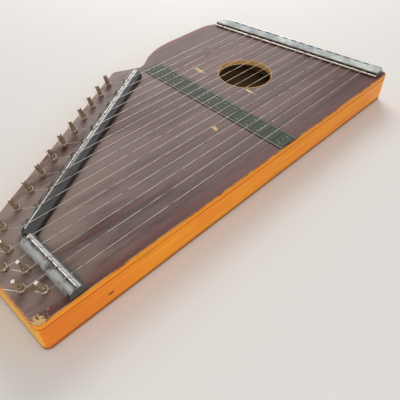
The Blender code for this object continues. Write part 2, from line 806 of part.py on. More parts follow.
def string_points(number):
    """The route of one string, from its hook on the hitch pin to the tail of its winding."""
    travel = string_direction(number)
    end_height = BODY_HEIGHT + JOINT_GAP + END_WIRE_RADIUS * 2 + STRING_SEAT
    near_height = SADDLE_TOP + STRING_SEAT
    hitch = hitch_point(number)
    leaving = math.atan2(travel.y, travel.x) + math.pi / 2
    points = []
    for k in range(HITCH_HOOK_STEPS + 1):
        angle = leaving - HITCH_HOOK_TURN * (1 - k / HITCH_HOOK_STEPS)
        bend = hitch + Vector((math.cos(angle), math.sin(angle))) * hook_radius()
        points.append(Vector((bend.x, bend.y, end_height)))
    end = end_crossing(number)
    near = near_crossing(number)
    points.append(Vector((end.x, end.y, end_height)))
    points.append(Vector((near.x, near.y, near_height)))
    frame = pin_frame(number)
    nail = nail_point(number)
    coil_radius = PIN_RADIUS + COIL_CLEARANCE + STRING_RADIUS
    coil_centre = (frame @ Vector((0.0, 0.0, COIL_HEIGHT))).to_2d()
    span = coil_centre - nail
    swing = math.asin((coil_radius - nail_turn_radius()) / span.length)
    leaving_nail = Vector((math.cos(swing) * span.x - math.sin(swing) * span.y,
                           math.sin(swing) * span.x + math.cos(swing) * span.y)).normalized()
    bends = turning(nail, nail_turn_radius(), heading_angle(travel), heading_angle(leaving_nail),
                    NAIL_BEND_STEPS)
    for k, bend in enumerate(bends):
        points.append(Vector((bend.x, bend.y, near_height - STRING_RADIUS * k / NAIL_BEND_STEPS)))
    flat_lead = frame.to_3x3().inverted() @ Vector((leaving_nail.x, leaving_nail.y, 0.0))
    start = heading_angle(flat_lead.to_2d().normalized())
    steps = round(COIL_TURNS * COIL_STEPS)
    for k in range(steps + 1):
        angle = start - math.tau * k / COIL_STEPS
        height = COIL_HEIGHT - COIL_PITCH * k / COIL_STEPS
        points.append(frame @ Vector((coil_radius * math.cos(angle), coil_radius * math.sin(angle), height)))
    tail = (points[-1] - points[-2]).normalized()
    points.append(points[-1] + tail * COIL_TAIL)
    return points


def segment_distance(a, b, c, d):
    """The least distance between two straight stretches, tried at nine points along each."""
    least = math.inf
    for i in range(9):
        p = a.lerp(b, i / 8)
        for j in range(9):
            least = min(least, (p - c.lerp(d, j / 8)).length)
    return least


def coil_gap(points):
    """The least gap of a string to itself between stretches that are not neighbours."""
    least = math.inf
    for i in range(len(points) - 1):
        for j in range(i + 8, len(points) - 1):
            least = min(least, segment_distance(points[i], points[i + 1], points[j], points[j + 1]))
    return least - 2 * STRING_RADIUS


def make_strings():
    gaps = []
    for number in range(STRING_COUNT):
        name = "string_%02d" % (number + 1)
        points = string_points(number)
        gaps.append(coil_gap(points))
        wire(name, points, STRING_RADIUS, 1, bright_steel("steel_" + name))
    print("least gap of a string to itself: %.2f mm, wanted over %.2f mm"
          % (min(gaps) * 1000, LEAST_COIL_GAP * 1000))


# Metal cover over the hitch pins

def cover_skyline(inset):
    """The cover's outer section from its lip to its back foot, as (inset from the far edge, height).

    The inset argument draws the section inwards by the sheet's thickness.
    """
    front = COVER_FRONT_INSET - inset
    face = COVER_FACE_INSET - inset * 0.4
    rim = COVER_RIM_INSET + inset * 0.2
    return [(front, COVER_LIP_TOP - inset * 0.5),
            (face, COVER_FACE_TOP - inset),
            (rim, COVER_RIM_TOP - inset),
            (rim - COVER_RIM_WIDTH + inset * 0.4, COVER_RIM_TOP - inset),
            (COVER_FOOT_INSET + inset * 0.9, COVER_FOOT_TOP)]


def cover_ring(section, right_x, left_shift):
    """One end of the cover: the section placed where the cover's end plane cuts each of its lines."""
    ring = []
    for inset, height in section:
        if left_shift is None:
            x = right_x
        else:
            share = inset / COVER_FRONT_INSET
            x = COVER_LEFT_BACK_X + (COVER_LEFT_FRONT_X - COVER_LEFT_BACK_X) * share + left_shift
        place = far_point(x, inset)
        ring.append(Vector((place.x, place.y, BODY_HEIGHT + height)))
    return ring


def make_cover():
    """A bent tin strip, open below, with a slot over each hitch pin."""
    outer = ([(COVER_FRONT_INSET, JOINT_GAP)] + cover_skyline(0.0)
             + [(COVER_BACK_INSET, COVER_FOOT_TOP), (COVER_BACK_INSET, JOINT_GAP)])
    form = bmesh.new()
    add_loft(form, [cover_ring(outer, COVER_RIGHT_X, None), cover_ring(outer, None, 0.0)])
    cover = new_object("cover_strip", mesh_from("cover_strip", form), tinned_sheet("tinned_cover"))
    below = -COVER_SHEET
    hollow = ([(COVER_FRONT_INSET - COVER_SHEET, below)] + cover_skyline(COVER_SHEET)
              + [(COVER_FOOT_INSET + COVER_SHEET * 0.9, below)])
    cavity = bmesh.new()
    add_loft(cavity, [cover_ring(hollow, COVER_RIGHT_X - COVER_SHEET, None),
                      cover_ring(hollow, None, COVER_SHEET)])
    cut(cover, new_object("cover_cavity", mesh_from("cover_cavity", cavity)))
    front = bmesh.new()
    before = COVER_FRONT_INSET + COVER_SHEET
    behind = COVER_FRONT_INSET - 2 * COVER_SHEET
    gap = [(before, below), (before, COVER_LIP_BOTTOM), (behind, COVER_LIP_BOTTOM), (behind, below)]
    add_loft(front, [cover_ring(gap, COVER_RIGHT_X - COVER_SHEET * 2, None),
                     cover_ring(gap, None, COVER_SHEET * 2)])
    cut(cover, new_object("cover_front_gap", mesh_from("cover_front_gap", front)))
    cut(cover, slot_cutter())
    return cover


def slot_cutter():
    """A short slot over each hitch pin, between the cover's face and its rim."""
    form = bmesh.new()
    middle = (COVER_FACE_INSET + COVER_RIM_INSET) / 2
    for number in range(STRING_COUNT):
        x = hitch_point(number).x
        corners = [far_point(x + along * SLOT_LENGTH / 2, middle + across * SLOT_WIDTH / 2)
                   for along, across in ((1, 1), (1, -1), (-1, -1), (-1, 1))]
        low = BODY_HEIGHT + HITCH_PIN_STAND + JOINT_GAP
        high = BODY_HEIGHT + COVER_RIM_TOP + COVER_SHEET
        add_loft(form, [raised(corners, low), raised(corners, high)])
    return new_object("cover_slots", mesh_from("cover_slots", form))


def make_cover_nails():
    """Nails through the cover's back foot; returns the cutter of their holes."""
    first = COVER_RIGHT_X - COVER_NAIL_MARGIN
    last = COVER_LEFT_BACK_X + COVER_NAIL_MARGIN
    seat = COVER_FOOT_TOP + JOINT_GAP
    centre = Vector((0.0, 0.0))
    form = bmesh.new()
    add_loft(form, [circle(centre, COVER_NAIL_RADIUS, NAIL_SIDES, -COVER_NAIL_DEPTH),
                    circle(centre, COVER_NAIL_RADIUS, NAIL_SIDES, seat),
                    circle(centre, COVER_NAIL_HEAD_RADIUS, NAIL_SIDES, seat),
                    circle(centre, COVER_NAIL_CROWN_RADIUS, NAIL_SIDES, seat + COVER_NAIL_HEAD_HEIGHT)])
    nail = mesh_from("cover_nail", form)
    nail.materials.append(bright_steel("cover_nail_steel"))
    nail.shade_smooth()
    nail.set_sharp_from_angle(angle=math.radians(50))
    holes = bmesh.new()
    radius = hole_radius(COVER_NAIL_RADIUS, NAIL_SIDES)
    for k in range(COVER_NAIL_COUNT):
        place = far_point(first + (last - first) * k / (COVER_NAIL_COUNT - 1), COVER_NAIL_INSET)
        item = new_object("cover_nail_%d" % (k + 1), nail)
        item.location = (place.x, place.y, BODY_HEIGHT)
        bottom = BODY_HEIGHT - COVER_NAIL_DEPTH - NAIL_HOLE_EXTRA_DEPTH
        add_loft(holes, [circle(place, radius, NAIL_SIDES, bottom),
                         circle(place, radius, NAIL_SIDES, BODY_HEIGHT + seat)])
    return new_object("cover_nail_holes", mesh_from("cover_nail_holes", holes))


def build():
    clear_scene()
    root = bpy.data.objects.new("zither", None)
    bpy.context.scene.collection.objects.link(root)
    root.location = plan_offset()

    soundboard = edged_board("soundboard", BOARD_BOTTOM, BODY_HEIGHT, TOP_EDGE_ROUND, True,
                             stained_top("stained_soundboard"))
    edged_board("back_board", 0.0, BACK_THICKNESS, BACK_EDGE_ROUND, False, bare_wood("plywood_back"))
    make_side_rail()
    make_shoulder_rail()
    pin_block = make_pin_block()
    hitch_block = make_hitch_block()
    hitch_block_y = far_point(-BODY_WIDTH, HITCH_BLOCK_DEPTH).y
    far_brace_y = hitch_block_y - BRACE_FROM_HITCH_BLOCK
    soundboard_braces = (NEAR_BRACE_Y, HOLE_Y - HOLE_RADIUS - BRACE_FROM_HOLE, far_brace_y)
    for k, y in enumerate(soundboard_braces):
        make_brace("soundboard_brace_%d" % (k + 1), y, FRAME_TOP, BRACE_DEPTH, -1)
    for k, y in enumerate(BACK_BRACES_Y):
        make_brace("back_brace_%d" % (k + 1), y, FRAME_BOTTOM, BACK_BRACE_HEIGHT, 1)
    make_note_strip()

    long_bridge = make_long_bridge()
    short_bridge = make_short_bridge()
    make_saddle_wires()
    make_end_wire()
    drive_guide_nails(short_bridge, range(SHORT_BRIDGE_STRINGS))
    drive_guide_nails(long_bridge, range(SHORT_BRIDGE_STRINGS, STRING_COUNT))

    pin_holes = make_tuning_pins()
    hitch_holes = drive_hitch_pins(hitch_block)
    cover = make_cover()
    nail_holes = make_cover_nails()
    cut(soundboard, sound_hole_cutter())
    cut(soundboard, pin_holes)
    cut(soundboard, hitch_holes)
    cut(soundboard, nail_holes)
    cut(pin_block, pin_holes)
    cut(hitch_block, nail_holes)
    cut(cover, nail_holes)
    make_strings()


build()
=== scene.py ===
import functools
import json
import math

import bpy
import numpy as np
from mathutils import Matrix, Vector


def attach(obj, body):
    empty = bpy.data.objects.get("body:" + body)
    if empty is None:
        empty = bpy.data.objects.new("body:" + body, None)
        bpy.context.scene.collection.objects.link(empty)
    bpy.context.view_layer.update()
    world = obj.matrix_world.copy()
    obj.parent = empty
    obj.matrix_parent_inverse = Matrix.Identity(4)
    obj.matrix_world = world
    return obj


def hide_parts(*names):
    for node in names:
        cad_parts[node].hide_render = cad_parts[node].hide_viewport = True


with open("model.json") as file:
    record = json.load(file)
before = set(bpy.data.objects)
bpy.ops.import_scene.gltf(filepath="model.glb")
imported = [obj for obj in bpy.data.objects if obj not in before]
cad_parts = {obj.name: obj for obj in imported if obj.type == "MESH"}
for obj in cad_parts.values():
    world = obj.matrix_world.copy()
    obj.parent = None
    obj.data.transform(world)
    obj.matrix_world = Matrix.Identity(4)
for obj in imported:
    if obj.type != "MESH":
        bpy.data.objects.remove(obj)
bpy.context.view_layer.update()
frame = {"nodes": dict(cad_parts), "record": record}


# Sides and blocks: the long side, the shoulder, the pin block and the hitch block, in maple under
# orange varnish, glued into a frame. Long streaks follow the boards, the near end is yellower, the
# foot is darker, grime lies along both edges, and a dent on the long side is a spot of painted
# shade.
def linear(hex_colour):
    """sRGB hex to linear: c/12.92 below 0.04045, else ((c + 0.055)/1.055)^2.4."""
    parts = [int(hex_colour[i:i + 2], 16) / 255 for i in (1, 3, 5)]
    return tuple(c / 12.92 if c <= 0.04045 else ((c + 0.055) / 1.055) ** 2.4
                 for c in parts) + (1.0,)


def fill(node, *values, **named):
    """Unnamed values go to the inputs that the node shows, in order, and named ones by name."""
    shown = [socket for socket in node.inputs if socket.enabled]
    wanted = list(zip(shown, values))
    wanted += [(node.inputs[name.replace("_", " ")], value) for name, value in named.items()]
    for socket, value in wanted:
        if isinstance(value, bpy.types.NodeSocket):
            node.id_data.links.new(value, socket)
        else:
            socket.default_value = value


def add(tree, kind, *values, **named):
    """One node: names in small letters are its settings, the rest fills it. Gives its output."""
    node = tree.nodes.new("ShaderNode" + kind)
    for name in [name for name in named if name.islower()]:
        setattr(node, name, named.pop(name))
    fill(node, *values, **named)
    return next((socket for socket in node.outputs if socket.enabled), None)


def start(name):
    """A new material, what adds to its tree, its shader, and the object's own coordinates."""
    material = bpy.data.materials.new(name)
    material.use_nodes = True
    put = functools.partial(add, material.node_tree)
    place = put("TexCoord").node.outputs["Object"]
    return material, put, material.node_tree.nodes["Principled BSDF"], place


def cloud(put, place, cells, detail=3.0, roughness=0.55):
    """Noise at the place times the cells a metre along X, Y and Z: 1000 make a cell of 1 mm."""
    return put("TexNoise", put("Mapping", place, Scale=cells), Scale=1.0, Detail=detail,
               Roughness=roughness)


def paint(put, colour, *layers):
    """Colours laid over one another, each by its share: colour (1 - share) + over share."""
    for share, over in layers:
        colour = put("Mix", share, colour, over, data_type="RGBA")
    return colour


def diagonal(put, a, b):
    """The square root of a squared plus b squared."""
    squares = [put("Math", side, side, operation="MULTIPLY") for side in (a, b)]
    return put("Math", put("Math", *squares, operation="ADD"), operation="SQRT")


def plan_distance(put, x, y, middle, stretch=1.0):
    """Distance in plan from the middle, where X counts for 1/stretch of its length."""
    dx = put("Math", x, middle[0], operation="SUBTRACT")
    dy = put("Math", y, middle[1], operation="SUBTRACT")
    return diagonal(put, put("Math", dx, stretch, operation="DIVIDE"), dy)


slot_of_node = {part["node"]: part["material_slot"] for part in frame["record"]["subparts"]}


def dress(slot, material):
    """The material goes on each CAD node of the slot."""
    for name, node in frame["nodes"].items():
        if slot_of_node[name] == slot:
            node.data.materials.clear()
            node.data.materials.append(material)
    return material


def orange_varnish():
    """Amber streaks, then yellow patches, grime, foot, near corner and a dent's painted shade laid
    over them.
    """
    material, put, shader, place = start("maple_orange_varnish")
    x, y, z = put("SeparateXYZ", place).node.outputs
    normal = put("NewGeometry").node.outputs["Normal"]
    face_x, face_y = put("SeparateXYZ", normal).node.outputs[:2]
    # Streaks 100 mm long and 2.4 mm high, patches of 45 to 70 mm, smears 38 mm long and 6 high.
    figure = cloud(put, place, (18.0, 10.0, 420.0))
    streak = put("MapRange", figure, 0.35, 0.7, interpolation_type="SMOOTHSTEP")
    patch = put("MapRange", cloud(put, place, (22.0, 14.0, 60.0)), 0.5, 0.75,
                interpolation_type="SMOOTHSTEP")
    near_end = put("MapRange", face_y, -0.6, -0.9, interpolation_type="SMOOTHSTEP")

    smear = put("MapRange", cloud(put, place, (30.0, 26.0, 160.0), 5.0, 0.65), 0.56, 0.72,
                interpolation_type="SMOOTHSTEP")
    middle_height, dent_height = 0.017, 0.0135
    from_middle = put("Math", put("Math", z, middle_height, operation="SUBTRACT"),
                      operation="ABSOLUTE")
    both_edges = put("MapRange", from_middle, 0.005, 0.013, interpolation_type="SMOOTHSTEP")
    grime = put("Math", smear, both_edges, operation="MULTIPLY")
    foot = put("MapRange", z, 0.0065, 0.0038, interpolation_type="SMOOTHSTEP")
    near_corner = put("Math",
                      put("MapRange", y, -0.12, -0.236, interpolation_type="SMOOTHSTEP"),
                      put("MapRange", face_x, 0.5, 0.9, interpolation_type="SMOOTHSTEP"),
                      operation="MULTIPLY")

    # Painted shade: a small dark spot on the long side stands for the shade in a dent's hollow.
    dent_middle = (0.121, -0.178)
    along_dent = put("MapRange", plan_distance(put, x, y, dent_middle), 0.0034, 0.0016,
                     interpolation_type="SMOOTHSTEP")
    from_dent = put("Math", put("Math", z, dent_height, operation="SUBTRACT"),
                    operation="ABSOLUTE")
    across_dent = put("MapRange", from_dent, 0.0014, 0.0006, interpolation_type="SMOOTHSTEP")
    dent_shade = put("Math", along_dent, across_dent, operation="MULTIPLY")

    colour = paint(put, linear("#FA8A00"), (streak, linear("#FFAA08")),
                   (put("Math", patch, 0.5, operation="MULTIPLY"), linear("#FFB21C")),
                   (put("Math", near_end, 0.7, operation="MULTIPLY"), linear("#FFC22E")),
                   (put("Math", grime, 0.75, operation="MULTIPLY"), linear("#8A4208")),
                   (put("Math", foot, 0.45, operation="MULTIPLY"), linear("#B85A08")),
                   (put("Math", near_corner, 0.6, operation="MULTIPLY"), linear("#E4660A")),
                   (dent_shade, linear("#4A2008")))
    fill(shader, Base_Color=colour, Roughness=0.45, Specular_IOR_Level=0.35, Coat_Weight=0.12,
         Coat_Roughness=0.16, Normal=put("Bump", Height=figure, Distance=0.0001, Strength=0.25))
    return material


dress("varnished_wood", orange_varnish())


# Inside wood: the back board and the braces, in plain sawn spruce that age has turned brown, glued
# across the frame. The back board's outer edge has taken some of the sides' varnish.
def bare_spruce():
    """Brown in two tones along the grain, and varnish where a low face stands upright."""
    material, put, shader, place = start("spruce_aged_inside")
    height = put("SeparateXYZ", place).node.outputs["Z"]
    normal = put("NewGeometry").node.outputs["Normal"]
    face_up = put("SeparateXYZ", normal).node.outputs["Z"]
    # Year rings 1.7 mm wide and 83 mm long.
    grain = cloud(put, place, (600.0, 12.0, 300.0))
    band = put("MapRange", grain, 0.3, 0.7, interpolation_type="SMOOTHSTEP")
    low = put("MapRange", height, 0.0031, 0.0027, interpolation_type="SMOOTHSTEP")
    upright = put("MapRange", put("Math", face_up, operation="ABSOLUTE"), 0.5, 0.3,
                  interpolation_type="SMOOTHSTEP")
    colour = paint(put, linear("#5C4128"), (band, linear("#7E5E3C")),
                   (put("Math", low, upright, operation="MULTIPLY"), linear("#B4661A")))
    fill(shader, Base_Color=colour, Roughness=0.7,
         Normal=put("Bump", Height=grain, Distance=0.0001, Strength=0.3))
    return material


dress("bare_wood", bare_spruce())


# Soundboard: a spruce plate under a dark red-brown stain, dusty and worn, glued on the frame with
# its grain along the strings; its pale haze is thickened towards the near left as a painted sheen.
# The arris is rubbed to bare wood, the edge has the sides' varnish, and the sound hole's sawn wall
# is raw.
def stained_spruce():
    """Streaks, grain, haze and its painted sheen, dust, borders and chips; then arris, varnished
    edge, raw hole, back.
    """
    material, put, shader, place = start("spruce_stained_and_dusty")
    x, y, z = put("SeparateXYZ", place).node.outputs
    normal = put("NewGeometry").node.outputs["Normal"]
    face_up = put("SeparateXYZ", normal).node.outputs["Z"]
    # Grain 0.7 mm wide and 71 mm long, streaks 4 by 330 mm, haze 22 by 140 mm, specks of 2.4 mm,
    # and wear in spots of 8 by 17 mm.
    grain = cloud(put, place, (1500.0, 14.0, 200.0), 4.0)
    streak = cloud(put, place, (260.0, 3.0, 30.0), 2.0)
    haze = cloud(put, place, (46.0, 7.0, 9.0), 5.0, 0.62)
    speck = cloud(put, place, (420.0, 420.0, 420.0), 2.0, 0.7)
    wear = cloud(put, place, (130.0, 60.0, 130.0), 5.0, 0.7)

    dark_streak = put("MapRange", streak, 0.35, 0.70, interpolation_type="SMOOTHSTEP")
    pale_grain = put("MapRange", grain, 0.52, 0.80, interpolation_type="SMOOTHSTEP")
    # Painted sheen: towards the near left the pale haze is thickened and strengthened, standing for
    # the light's sheen on the top there.
    leftward = put("Math", x, -1.0, operation="MULTIPLY")
    near_left_sheen = put("MapRange", put("Math", leftward, y, operation="SUBTRACT"), -0.02, 0.22,
                    interpolation_type="SMOOTHSTEP")
    haze_and_sheen = put("Math", haze, put("Math", near_left_sheen, 0.10, operation="MULTIPLY"),
                    operation="ADD")
    veil_share_with_sheen = put("Math", 0.30, put("Math", near_left_sheen, 0.55, operation="MULTIPLY"), operation="ADD")
    haze_and_sheen_veil = put("Math",
               put("MapRange", haze_and_sheen, 0.40, 0.66, interpolation_type="SMOOTHSTEP"), veil_share_with_sheen,
               operation="MULTIPLY")
    dust = put("MapRange", speck, 0.62, 0.78, interpolation_type="SMOOTHSTEP")
    right_border = put("MapRange", x, 0.104, 0.121, interpolation_type="SMOOTHSTEP")
    left_border = put("MapRange", x, -0.108, -0.121, interpolation_type="SMOOTHSTEP")
    colour = paint(put, linear("#2C100E"), (dark_streak, linear("#5A251A")),
                   (pale_grain, linear("#6E4E42")), (haze_and_sheen_veil, linear("#A08C84")),
                   (put("Math", dust, 0.35, operation="MULTIPLY"), linear("#A8958A")),
                   (put("Math", right_border, 0.75, operation="MULTIPLY"), linear("#571A15")),
                   (put("Math", left_border, 0.6, operation="MULTIPLY"), linear("#7A2E1C")))

    # Chips: middle, radius across the grain, and length along X over width.
    chips = (((-0.042, 0.0825), 0.0024, 3.6), ((0.051, 0.0124), 0.0016, 2.6),
             ((0.031, 0.0909), 0.0014, 4.6), ((0.117, -0.236), 0.0060, 0.7))
    for middle, size, stretch in chips:
        rag = put("Math", put("Math", speck, 0.5, operation="SUBTRACT"), size * 5.0,
                  operation="MULTIPLY")
        ragged = put("Math", plan_distance(put, x, y, middle, stretch), rag, operation="ADD")
        chip = put("MapRange", ragged, size, size * 0.8, interpolation_type="SMOOTHSTEP")
        colour = paint(put, colour, (chip, linear("#D8AE74")))

    arris = put("Math",
                put("MapRange", face_up, 0.985, 0.93, interpolation_type="SMOOTHSTEP"),
                put("MapRange", wear, 0.30, 0.62, interpolation_type="SMOOTHSTEP"),
                operation="MULTIPLY")
    edge = put("MapRange", face_up, 0.45, 0.30, interpolation_type="SMOOTHSTEP")
    glue_line = put("MapRange", z, 0.0303, 0.0296, interpolation_type="SMOOTHSTEP")
    varnish = paint(put, linear("#FF9803"),
                    (put("Math", glue_line, 0.8, operation="MULTIPLY"), linear("#8A3C04")))
    hole_middle = (0.0012, 0.11684)
    hole_wall = put("MapRange", plan_distance(put, x, y, hole_middle), 0.0325, 0.0318,
                    interpolation_type="SMOOTHSTEP")
    raw_band = put("MapRange", grain, 0.3, 0.7, interpolation_type="SMOOTHSTEP")
    raw = paint(put, linear("#C98F50"), (raw_band, linear("#EBC48C")))
    underneath = put("MapRange", face_up, -0.4, -0.6, interpolation_type="SMOOTHSTEP")
    colour = paint(put, colour, (arris, linear("#C9924F")), (edge, varnish), (hole_wall, raw),
                   (underneath, linear("#C9A070")))

    rough = put("Math", 0.34, put("Math", haze, 0.30, operation="MULTIPLY"), operation="ADD")
    rough = put("Math", rough, put("Math", hole_wall, 0.3, operation="MULTIPLY"),
                operation="ADD")
    fill(shader, Base_Color=colour, Roughness=rough, Specular_IOR_Level=0.32,
         Normal=put("Bump", Height=grain, Distance=0.00012, Strength=0.45))
    return material


dress("stained_top", stained_spruce())


# Note strip: a printed paper band glued across the soundboard, with a cream double border and
# fifteen grey-green panels, each with a small six-petalled rosette between two dots. Its varnish
# is dull, and its left end is rubbed away.
def printed_band():
    """Each panel repeats by pitch; a petal's edge lies at 2.6 mm + 1.3 mm cos(6 angle)."""
    material, put, shader, place = start("paper_printed_band")
    x, y = put("SeparateXYZ", place).node.outputs[:2]
    near, far, left, pitch = 0.03394, 0.05994, -0.090, 0.01395
    petal_middle, petal_swing, petals = 0.0026, 0.0013, 6.0
    dot_offset, outer_line, inner_line = 0.0063, 0.0119, 0.0105

    offset = put("Math", y, (near + far) / 2, operation="SUBTRACT")
    across = put("Math", offset, operation="ABSOLUTE")
    along = put("Math", put("Math", x, left, operation="SUBTRACT"), pitch, operation="DIVIDE")
    within = put("Math", put("Math", along, operation="FRACT"), 0.5, operation="SUBTRACT")
    cell = put("Math", within, pitch, operation="MULTIPLY")
    reach = put("Math", cell, operation="ABSOLUTE")
    panel = put("Math",
                put("MapRange", across, 0.0088, 0.0086, interpolation_type="SMOOTHSTEP"),
                put("MapRange", reach, 0.0062, 0.0060, interpolation_type="SMOOTHSTEP"),
                operation="MULTIPLY")

    radius = diagonal(put, cell, offset)
    turns = put("Math", put("Math", offset, cell, operation="ARCTAN2"), petals,
                operation="MULTIPLY")
    swing = put("Math", petal_swing, put("Math", turns, operation="COSINE"),
                operation="MULTIPLY")
    petal_edge = put("Math", petal_middle, swing, operation="ADD")
    bloom = put("MapRange", put("Math", radius, petal_edge, operation="SUBTRACT"), 0.0002,
                -0.0001, interpolation_type="SMOOTHSTEP")
    eye = put("MapRange", radius, 0.0010, 0.0008, interpolation_type="SMOOTHSTEP")
    from_dot = diagonal(put, cell, put("Math", across, dot_offset, operation="SUBTRACT"))
    dots = put("MapRange", from_dot, 0.0010, 0.0008, interpolation_type="SMOOTHSTEP")
    lines = []
    for line, soft, sharp in ((outer_line, 0.00035, 0.00022), (inner_line, 0.0003, 0.00018)):
        from_line = put("Math", put("Math", across, line, operation="SUBTRACT"),
                        operation="ABSOLUTE")
        lines.append(put("MapRange", from_line, soft, sharp, interpolation_type="SMOOTHSTEP"))

    wear_and_glare = cloud(put, place, (140.0, 140.0, 140.0), 4.0, 0.7)  # spots of 7 mm
    left_end = put("MapRange", x, -0.070, -0.094, interpolation_type="SMOOTHSTEP")
    wear = put("Math", wear_and_glare, put("Math", left_end, 0.30, operation="MULTIPLY"), operation="ADD")
    rubbed = put("MapRange", wear, 0.66, 0.76, interpolation_type="SMOOTHSTEP")
    colour = paint(put, linear("#0C110D"),
                   (put("Math", panel, 0.9, operation="MULTIPLY"), linear("#3E493C")),
                   (put("Math", bloom, 0.85, operation="MULTIPLY"), linear("#161D17")),
                   (put("Math", eye, dots, operation="MAXIMUM"), linear("#8C8866")),
                   (put("Math", *lines, operation="MAXIMUM"), linear("#9A9270")),
                   (put("Math", rubbed, 0.7, operation="MULTIPLY"), linear("#6E5A4E")))
    fill(shader, Base_Color=colour, Roughness=0.6, Specular_IOR_Level=0.25)
    return material


dress("printed_paper", printed_band())


# Bridges: turned half-round hardwood bars under glossy black lacquer, glued on the top, with their
# guide nails driven in. They are a little dusty, the slope towards the pins has a painted sheen,
# and the short one's near slope has a painted white glare.
def black_lacquer():
    """Black with dust, a painted sheen on the slope towards the pins, and a painted glare on the
    short bridge's near slope.
    """
    material, put, shader, place = start("hardwood_black_lacquer")
    along = put("SeparateXYZ", place).node.outputs["Y"]
    normal = put("NewGeometry").node.outputs["Normal"]
    face_x, face_y = put("SeparateXYZ", normal).node.outputs[:2]
    dust = cloud(put, place, (90.0, 90.0, 90.0), 3.0, 0.5)  # patches of 11 mm
    dusty = put("MapRange", dust, 0.50, 0.85, interpolation_type="SMOOTHSTEP")
    # Painted sheen: the slope that faces the pins is made paler grey, as where the light falls on
    # it.
    lit_pin_side = put("MapRange", face_x, -0.25, -0.8, interpolation_type="SMOOTHSTEP")
    short_bridge = put("MapRange", along, -0.172, -0.186, interpolation_type="SMOOTHSTEP")
    # Painted highlight: a pale grey glare on the short bridge's near slope, broken up by the dust
    # cloud.
    wear_and_glare = put("Math",
               put("MapRange", face_y, -0.05, -0.5, interpolation_type="SMOOTHSTEP"),
               put("MapRange", dust, 0.36, 0.56, interpolation_type="SMOOTHSTEP"),
               operation="MULTIPLY")
    colour = paint(put, linear("#0E1112"), (dusty, linear("#2E3433")),
                   (put("Math", lit_pin_side, 0.55, operation="MULTIPLY"), linear("#4C5553")),
                   (put("Math", wear_and_glare, short_bridge, operation="MULTIPLY"), linear("#B4B8B6")))
    fill(shader, Base_Color=colour, Roughness=0.2, Coat_Weight=0.6, Coat_Roughness=0.1,
         Normal=put("Bump", Height=dust, Distance=0.0001, Strength=0.08))
    return material


dress("black_lacquer", black_lacquer())


# Saddle wires and cover nails: drawn steel wire, bright with brown spots, let into the bridges'
# crests, laid in front of the cover, and driven through its foot. The strings have it too.
def drawn_wire():
    """Bright grey, with brown where the cloud stands high, in spots of 3 by 11 mm."""
    material, put, shader, place = start("steel_wire_drawn")
    spot = put("MapRange", cloud(put, place, (300.0, 90.0, 300.0)), 0.5, 0.7,
               interpolation_type="SMOOTHSTEP")
    fill(shader, Base_Color=paint(put, linear("#BDB6AA"), (spot, linear("#74604E"))),
         Metallic=0.9, Roughness=0.38)
    return material


string_steel = dress("steel_wire", drawn_wire())


# Hitch cover: tinned sheet steel, bent to a ridge with a slot over each hitch pin and nailed down
# at the back. It is dulled, with brown bloom in spots.
def tinned_sheet():
    """Two greys in clouds of 17 mm, and brown where a finer cloud of 4 mm stands high."""
    material, put, shader, place = start("tinplate_bent")
    dull = cloud(put, place, (60.0, 60.0, 90.0), 5.0, 0.6)
    pale = put("MapRange", dull, 0.35, 0.7, interpolation_type="SMOOTHSTEP")
    rust = put("MapRange", cloud(put, place, (240.0, 240.0, 240.0), 4.0, 0.7), 0.6, 0.75,
               interpolation_type="SMOOTHSTEP")
    colour = paint(put, linear("#989C9D"), (pale, linear("#C6CAC6")),
                   (put("Math", rust, 0.6, operation="MULTIPLY"), linear("#7A6650")))
    rough = put("Math", 0.26, put("Math", dull, 0.25, operation="MULTIPLY"), operation="ADD")
    fill(shader, Base_Color=colour, Metallic=0.85, Roughness=rough,
         Normal=put("Bump", Height=dull, Distance=0.0004, Strength=0.25))
    return material


dress("tinned_sheet", tinned_sheet())


# Tuning pins: round blued steel with a milled, tapered square head, gone brown, and rubbed bright
# on top by the key. Each is driven into the pin block, replaces its plain solid, stands on the
# same leaning axis and turns with it.
def rusted_pin_steel():
    """Brown in two tones, and bright where the face looks up along the pins' axis."""
    material, put, shader, place = start("pin_steel_rusted")
    lean = math.radians(15.0)
    rust = cloud(put, place, (700.0, 700.0, 500.0), 4.0, 0.7)  # spots of 1.4 by 2 mm
    patch = put("MapRange", rust, 0.35, 0.65, interpolation_type="SMOOTHSTEP")
    normal = put("NewGeometry").node.outputs["Normal"]
    up_pin = put("VectorMath", normal, (0.0, -math.sin(lean), math.cos(lean)),
                 operation="DOT_PRODUCT")
    top = put("MapRange", up_pin, 0.55, 0.8, interpolation_type="SMOOTHSTEP")
    colour = paint(put, linear("#7A6050"), (patch, linear("#BCA288")), (top, linear("#E4DED6")))
    rough = put("Math", 0.48, put("Math", top, 0.2, operation="MULTIPLY"),
                operation="SUBTRACT")
    fill(shader, Base_Color=colour, Metallic=0.55, Roughness=rough,
         Normal=put("Bump", Height=rust, Distance=0.00015, Strength=0.3))
    return material


def surface_of_rings(rings, name):
    """A closed mesh through rings, shape (rings, points, 3): quads round and up, and two caps."""
    rows, count = rings.shape[:2]
    index = np.arange(rows * count).reshape(rows, count)
    onward = np.roll(index, -1, axis=1)
    quads = np.stack([index[:-1], onward[:-1], onward[1:], index[1:]], axis=-1).reshape(-1, 4)
    faces = quads.tolist() + [index[0][::-1].tolist(), index[-1].tolist()]
    mesh = bpy.data.meshes.new(name)
    mesh.from_pydata(rings.reshape(-1, 3).tolist(), [], faces)
    mesh.shade_smooth()
    mesh.set_sharp_from_angle(angle=math.radians(32))
    item = bpy.data.objects.new(name, mesh)
    bpy.context.scene.collection.objects.link(item)
    return item


